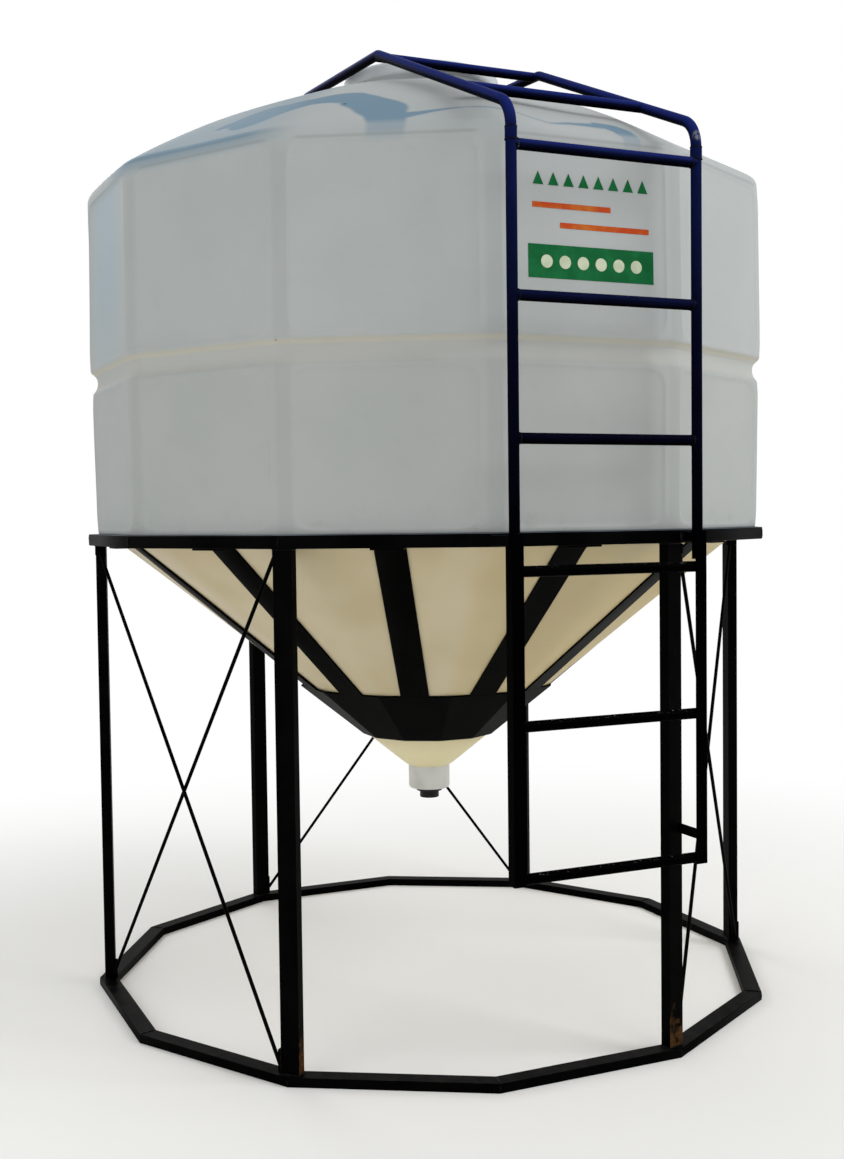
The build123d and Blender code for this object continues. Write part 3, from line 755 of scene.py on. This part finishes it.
def hopper_moulding(material):
    """The cone under the tank, twelve-sided at the top and nearly round at the spout."""
    bm = bmesh.new()
    ledge = wall_outline[0][0] - skin
    knuckle, knuckle_z = hopper_knuckle
    down = [0.015, 0.2, 0.4, 0.6, 0.8, 0.93, 1.0]

    def on_cone(share, inset):
        apothem = knuckle - inset + (spout_radius - knuckle) * share
        return (apothem, knuckle_z + (spout_top - knuckle_z) * share)
    outer = [(ledge, tank_seat + skin), (ledge, tank_seat + 0.001), (knuckle + 0.008, tank_seat)]
    outer += [(knuckle, knuckle_z)] + [on_cone(share, 0) for share in down]
    inner = [on_cone(share, 0.010) for share in reversed(down)] + [(knuckle - skin, tank_seat + skin)]
    shell_of_levels(bm, outer, inner)
    soften_corners(bm, 0.014)
    sag(bm)
    nodes = ["hopper_panels_a", "hopper_panels_b"]
    piece = make_piece(bm, "hopper_moulding", material, nodes, 60)
    subdivide(piece)


def outlet_spout(material):
    """The short round spout at the cone's point."""
    profile = [
        (0.067, 0.760),
        (0.0755, 0.757),
        (0.0753, 0.745),
        (spout_radius, 0.700),
        (spout_radius, 0.676),
        (0.0735, 0.670),
        (0.0700, spout_foot),
        (0.0356, spout_foot),
        (0.0356, 0.675),
        (0.067, 0.675),
        (0.067, 0.760),
    ]
    make_piece(spun(profile), "outlet_spout", material, ["hopper_spout"])


def outlet_fitting(material):
    """The stepped black fitting in the spout's floor."""
    profile = [
        (0.0, 0.685),
        (0.035, 0.685),
        (0.035, spout_foot),
        (0.0462, spout_foot),
        (0.0475, 0.6655),
        (0.0475, 0.6565),
        (0.0462, 0.655),
        (0.036, 0.655),
        (0.035, 0.653),
        (0.035, 0.632),
        (0.0335, 0.630),
        (0.024, 0.630),
        (0.023, 0.632),
        (0.022, 0.645),
        (0.0, 0.645),
    ]
    fitting = spun(profile, 48)
    make_piece(fitting, "outlet_fitting_turned", material, ["outlet_fitting"])


def hatch_neck(material):
    """The round upstand of the filling hatch, flared where it grows out of the roof."""
    profile = [
        (0.2745, 3.139),
        (0.2860, 3.139),
        (0.2930, 3.1470),
        (0.2905, 3.1500),
        (0.2855, 3.1535),
        (0.2832, 3.1600),
        (0.2830, 3.1740),
        (0.2822, 3.1780),
        (0.2800, neck_top),
        (0.2770, neck_top),
        (0.2750, 3.1780),
        (0.2745, 3.1740),
        (0.2745, 3.1390),
    ]
    make_piece(spun(profile, 96), "hatch_upstand", material, ["hatch_neck"])


def hatch_lid(material):
    """The lid: an upright side with a small rim, under a low dome."""
    crown = neck_top + 0.082
    dome = 1.107
    profile = [(r, crown - dome + sqrt(dome**2 - r**2)) for r in (0.0, 0.04, 0.08, 0.12, 0.16, 0.20, 0.24)]
    profile += [
        (0.2620, 3.2303),
        (0.2720, 3.2262),
        (0.2775, 3.2212),
        (0.2788, 3.2150),
        (0.2788, 3.1950),
        (0.2800, 3.1930),
        (0.2800, 3.1815),
        (0.2790, neck_top),
        (0.2740, neck_top),
        (0.2735, 3.2120),
        (0.2620, 3.2210),
        (0.1200, 3.2490),
        (0.0, 3.2560),
    ]
    make_piece(spun(profile, 96), "hatch_dome_lid", material, ["hatch_lid"], 40)


# Ladder and guard rails

def guard_rails(material):
    """Each rail in one run of tube, from the ladder's upright over the roof to its foot."""
    bm = bmesh.new()
    rail_foot_y = 0.470
    foot_apothem = rail_x * cos(radians(60)) + rail_foot_y * sin(radians(60))
    foot_z = roof_z(foot_apothem)
    tilt = asin((foot_apothem - roof_centre[0]) / roof_radius)
    # Depth, height and radius of each bend
    bends = ((rail_y, 2.790, 0.095), (-0.330, 3.195, 0.070), (0.400, 3.248, 0.060))
    for x in (-rail_x, rail_x):
        corners = [((x, y, z), radius) for y, z, radius in bends]
        run_tube(bm, (x, rail_y, 1.530), corners, (x, rail_foot_y, foot_z))
        # A sleeve over the joint, from the top rung to the bend
        run_tube(bm, (x, rail_y, sleeve_foot), [], (x, rail_y, sleeve_head), tube_radius + 0.0014)
        # The foot's plate of 80 by 80 by 5 mm lies flat on the roof
        plate = bmesh.ops.create_cube(bm, size=0.08)["verts"]
        bmesh.ops.scale(bm, vec=(1, 1, 0.0625), verts=plate)
        azimuth = radians(60 if x > 0 else 120)
        turn = Matrix.Rotation(azimuth, 3, "Z") @ Matrix.Rotation(tilt, 3, "Y")
        turn = turn @ Matrix.Rotation(-azimuth, 3, "Z")
        bmesh.ops.rotate(bm, cent=(0, 0, 0), matrix=turn, verts=plate)
        bmesh.ops.translate(bm, vec=(x, rail_foot_y, foot_z + 0.003), verts=plate)
    bmesh.ops.recalc_face_normals(bm, faces=bm.faces)
    nodes = ["ladder_stiles", "guard_sloping_rails", "guard_level_rails"]
    make_piece(bm, "guard_rails", material, nodes)


def steel_pieces(frame_paint, ladder_paint):
    """The frame's and the ladder's rolled sections, with rounded edges."""
    rounded = [
        ("base_ring_steel", "base_ring", 0.0025),
        ("top_ring_steel", "top_ring", 0.0030),
        ("hopper_straps_steel", "hopper_straps", 0.0012),
        ("collar_steel_a", "hopper_collar_a", 0.0010),
        ("collar_steel_b", "hopper_collar_b", 0.0010),
        ("ladder_angles_steel", "ladder_angles", 0.0008),
        ("ring_brackets_steel", "ladder_ring_brackets", 0.0012),
        ("leg_bracket_steel", "ladder_leg_bracket", 0.0012),
    ]
    rounded += [("leg_steel_%d" % (i + 1), "leg_%d" % (i + 1), 0.0035) for i in range(len(leg_azimuths))]
    for name, node, width in rounded:
        paint = ladder_paint if node == "ladder_angles" else frame_paint
        piece = make_piece(merged_copy(node), name, paint, [node])
        soften_edges(piece, width)
    for node in ("brace_right", "brace_rear", "brace_left"):
        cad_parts[node].material_slots[0].material = frame_paint
    for node in ("ladder_lower_rungs", "ladder_upper_rungs", "guard_cross_bars"):
        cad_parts[node].material_slots[0].material = ladder_paint


def weld_bead(bm, start, end, radius=0.003):
    """A rippled weld bead along a straight joint."""
    start, end = Vector(start), Vector(end)
    along = (end - start).normalized()
    steps = max(3, round((end - start).length / 0.008))
    verts = bmesh.ops.create_circle(bm, cap_ends=True, segments=6, radius=radius * 0.5)["verts"]
    turn = Vector((0, 0, 1)).rotation_difference(along).to_matrix()
    bmesh.ops.rotate(bm, cent=(0, 0, 0), matrix=turn, verts=verts)
    bmesh.ops.translate(bm, vec=start, verts=verts)
    size = 0.5
    for i in range(1, steps + 1):
        grown = bmesh.ops.extrude_edge_only(bm, edges=edges_between(verts))["geom"]
        verts = new_vertices(grown)
        place = start.lerp(end, i / steps)
        bmesh.ops.translate(bm, vec=(end - start) / steps, verts=verts)
        wanted = 0.4 if i == steps else random.uniform(0.8, 1.25)
        bmesh.ops.scale(bm, vec=(wanted / size,) * 3, verts=verts, space=Matrix.Translation(-place))
        size = wanted
    bmesh.ops.contextual_create(bm, geom=edges_between(verts))


def weld_ring(bm, centre, axis, ring_radius, radius=0.0022):
    """A weld bead round the end of a tube."""
    verts = bmesh.ops.create_circle(bm, cap_ends=False, segments=6, radius=radius)["verts"]
    bmesh.ops.rotate(bm, cent=(0, 0, 0), matrix=Matrix.Rotation(pi / 2, 3, "X"), verts=verts)
    bmesh.ops.translate(bm, vec=(ring_radius, 0, 0), verts=verts)
    bmesh.ops.spin(
        bm, geom=verts + edges_between(verts), cent=(0, 0, 0), axis=(0, 0, 1), dvec=(0, 0, 0),
        angle=2 * pi, steps=18, use_merge=True, use_duplicate=False,
    )
    ring = list(connected(verts))
    turn = Vector((0, 0, 1)).rotation_difference(Vector(axis)).to_matrix()
    bmesh.ops.rotate(bm, cent=(0, 0, 0), matrix=turn, verts=ring)
    bmesh.ops.translate(bm, vec=centre, verts=ring)


def connected(verts):
    """Some vertices and all that are joined to them through edges."""
    found, waiting = set(verts), list(verts)
    while waiting:
        for edge in waiting.pop().link_edges:
            for other in edge.verts:
                if other not in found:
                    found.add(other)
                    waiting.append(other)
    return found


def welds(material):
    """The beads at the legs' heads and feet, the rings' mitres and the rungs' ends."""
    bm = bmesh.new()
    leg_radius, leg_half_depth, leg_half_width = 1.166, 0.0185, 0.0305
    leg_out, leg_in = leg_radius + leg_half_depth, leg_radius - leg_half_depth
    leg_corners = [(leg_out, -1), (leg_out, 1), (leg_in, 1), (leg_in, -1)]
    for azimuth in leg_azimuths:
        turn = Matrix.Rotation(radians(azimuth), 3, "Z")
        for z in (base_ring_top + 0.001, leg_head - 0.001):
            places = [turn @ Vector((radius, side * leg_half_width, z)) for radius, side in leg_corners]
            for start, end in zip(places, places[1:] + places[:1]):
                weld_bead(bm, start, end)
    # Each mitre's bead up the outside of a ring or over its top, as radius and height at both ends
    mitres = [
        ((1.2065, leg_head + 0.003), (1.2065, tank_seat - 0.003)),
        ((1.2025, 0.003), (1.2025, base_ring_top - 0.003)),
        ((1.198, base_ring_top), (1.150, base_ring_top)),
    ]
    for azimuth in corner_azimuths:
        for (radius, z), (end_radius, end_z) in mitres:
            weld_bead(bm, polar(radius, azimuth, z), polar(end_radius, azimuth, end_z), 0.0025)
    for side in (-1, 1):
        for z in upper_rungs:
            weld_ring(bm, (side * (rail_x - tube_radius - 0.001), rail_y, z), (1, 0, 0), tube_radius)
        for z in lower_rungs:
            weld_ring(bm, (side * (rail_x + 0.015), rail_y, z), (1, 0, 0), tube_radius)
        weld_ring(bm, (side * rail_x, rail_y, sleeve_foot), (0, 0, 1), tube_radius + 0.001)
        weld_ring(bm, (side * rail_x, rail_y, sleeve_head + 0.001), (0, 0, 1), tube_radius, 0.0025)
    bmesh.ops.recalc_face_normals(bm, faces=bm.faces)
    make_piece(bm, "weld_beads", material, (), 60)


def film_on_tank(shell, name, material, lift, bands=(), badges=()):
    """Printed shapes laid on the tank's wall between the ladder's uprights.

    A band or a badge is its middle's x and z, its width and its height. A badge adds its corners.
    """
    bm = bmesh.new()
    shapes = []
    for shape in bands:
        grid = bmesh.ops.create_grid(bm, x_segments=24, y_segments=4, size=0.5)
        shapes.append((shape, grid["verts"]))
    for *shape, corners in badges:
        disc = bmesh.ops.create_circle(bm, cap_ends=True, segments=corners, radius=0.5)
        shapes.append((shape, disc["verts"]))
    for (middle_x, middle_z, width, height), verts in shapes:
        for vertex in verts:
            start = Vector((middle_x + vertex.co.x * width, -2, middle_z + vertex.co.y * height))
            _, place, normal, _ = shell.ray_cast(start, Vector((0, 1, 0)))
            vertex.co = place + normal * lift
    bmesh.ops.recalc_face_normals(bm, faces=bm.faces)
    for face in bm.faces:
        if face.normal.y > 0:
            face.normal_flip()
    piece = make_piece(bm, name, material)
    # The film's cut edge is crisp and its face is flat
    piece.data.shade_flat()
    sheet = piece.modifiers.new("film", "SOLIDIFY")
    sheet.thickness = 0.0005
    sheet.offset = -1


def print_on_tank(tank, green, pale, orange):
    """The print on the ladder's side: green badges in a row, orange bars, a green band with pale dots."""
    shell = tank.evaluated_get(bpy.context.evaluated_depsgraph_get())
    badges = [(-0.155 + 0.050 * i, 2.620, 0.040, 0.050, 3) for i in range(8)]
    dots = [(-0.130 + 0.060 * i, 2.390, 0.038, 0.038, 20) for i in range(6)]
    bars = [(-0.045, 2.550, 0.260, 0.016), (0.065, 2.495, 0.300, 0.016)]
    band = (0.020, 2.390, 0.420, 0.096)
    film_on_tank(shell, "print_green", green, 0.0010, bands=[band], badges=badges)
    film_on_tank(shell, "print_orange", orange, 0.0010, bands=bars)
    film_on_tank(shell, "print_pale", pale, 0.0016, badges=dots)


# Stage, lights and camera

def studio():
    """A pale floor, plain soft light and a white background."""
    bm = bmesh.new()
    bmesh.ops.create_grid(bm, x_segments=1, y_segments=1, size=40)
    mesh = bpy.data.meshes.new("studio_floor")
    bm.to_mesh(mesh)
    bm.free()
    floor = bpy.data.objects.new("studio_floor", mesh)
    bpy.context.collection.objects.link(floor)
    material, tree, coords = new_material("pale_floor")
    mesh.materials.append(material)
    # The floor runs out into the white background a few metres from the silo
    distance = add(tree, "VectorMath", [coords["Object"]], operation="LENGTH").outputs["Value"]
    far = add(tree, "MapRange", [distance, 1.6, 4.5], **smooth)
    seen = add(tree, "LightPath").outputs["Is Camera Ray"]
    far = add(tree, "Math", [far, seen], operation="MULTIPLY")
    near = add(tree, "BsdfDiffuse", ["#fafaf8"])
    white = add(tree, "Emission", ["#ffffff", 1.0])
    add(tree, "OutputMaterial", [add(tree, "MixShader", [far, near, white])])

    world = bpy.data.worlds.new("studio_light")
    bpy.context.scene.world = world
    world.use_nodes = True
    tree = world.node_tree
    tree.nodes.clear()
    path = add(tree, "LightPath").outputs
    seen = add(tree, "Math", [path["Is Camera Ray"], path["Is Glossy Ray"]], operation="MAXIMUM")
    seen = add(tree, "Math", [seen, path["Is Transmission Ray"]], operation="MAXIMUM")
    lit = add(tree, "Background", ["#ffffff", 0.66])
    white = add(tree, "Background", ["#ffffff", 1.0])
    add(tree, "OutputWorld", [add(tree, "MixShader", [seen, lit, white])])

    for name, place, watts in (
        ("key_light", (4.5, -5.0, 6.0), 230),
        ("fill_light", (-6.0, -3.5, 3.0), 60),
        ("rear_light", (-1.0, 6.0, 5.5), 110),
    ):
        lamp = bpy.data.lights.new(name, "AREA")
        lamp.size = 3.5
        lamp.energy = watts
        holder = bpy.data.objects.new(name, lamp)
        bpy.context.collection.objects.link(holder)
        aim = Vector((0, 0, 1.6)) - Vector(place)
        holder.matrix_world = Matrix.Translation(place) @ aim.to_track_quat("-Z", "Y").to_matrix().to_4x4()
    bpy.context.scene.view_settings.view_transform = "Standard"


def camera():
    """The photograph's viewpoint."""
    azimuth, pitch, roll = radians(65.94), radians(-2.6), radians(-0.7)
    eye = (-2.135, -4.738, 1.668)
    forward = Vector((cos(azimuth) * cos(pitch), sin(azimuth) * cos(pitch), sin(pitch)))
    level = Vector((sin(azimuth), -cos(azimuth), 0))
    upright = level.cross(forward)
    right = level * cos(roll) + upright * sin(roll)
    up = upright * cos(roll) - level * sin(roll)
    turn = Matrix((right, up, -forward)).transposed().to_4x4()
    lens = bpy.data.cameras.new("photo_camera")
    lens.lens = 44.0
    lens.sensor_width = 36.0
    holder = bpy.data.objects.new("photo_camera", lens)
    bpy.context.collection.objects.link(holder)
    holder.matrix_world = Matrix.Translation(eye) @ turn
    bpy.context.scene.camera = holder


def silo():
    """The whole dressed silo, from its plastic to its print."""
    tank_plastic = tank_polyethylene()
    cone_plastic = hopper_polyethylene()
    spout_plastic = moulded_plastic("white_polyethylene", "#cfcfca", "#c2c2bb", 0.4)
    lid_plastic = moulded_plastic("grey_polyethylene", "#d3d8da", "#c9ced0", 0.45, 0.1)
    fitting_plastic = moulded_plastic("black_polypropylene", "#0b0b0b", "#141414", 0.45, 0.2)
    frame_paint = frame_enamel()
    ladder_paint = ladder_enamel()
    tank = tank_moulding(tank_plastic)
    hopper_moulding(cone_plastic)
    outlet_spout(spout_plastic)
    outlet_fitting(fitting_plastic)
    hatch_neck(tank_plastic)
    hatch_lid(lid_plastic)
    guard_rails(ladder_paint)
    steel_pieces(frame_paint, ladder_paint)
    welds(weld_metal())
    green_film = vinyl_film("green_vinyl", "#0b5c30", "#16693a")
    pale_film = vinyl_film("pale_vinyl", "#c9d2b8", "#b9c4a6")
    orange_film = vinyl_film("orange_vinyl", "#b8451b", "#bd6a26")
    print_on_tank(tank, green_film, pale_film, orange_film)


studio()
camera()
silo()
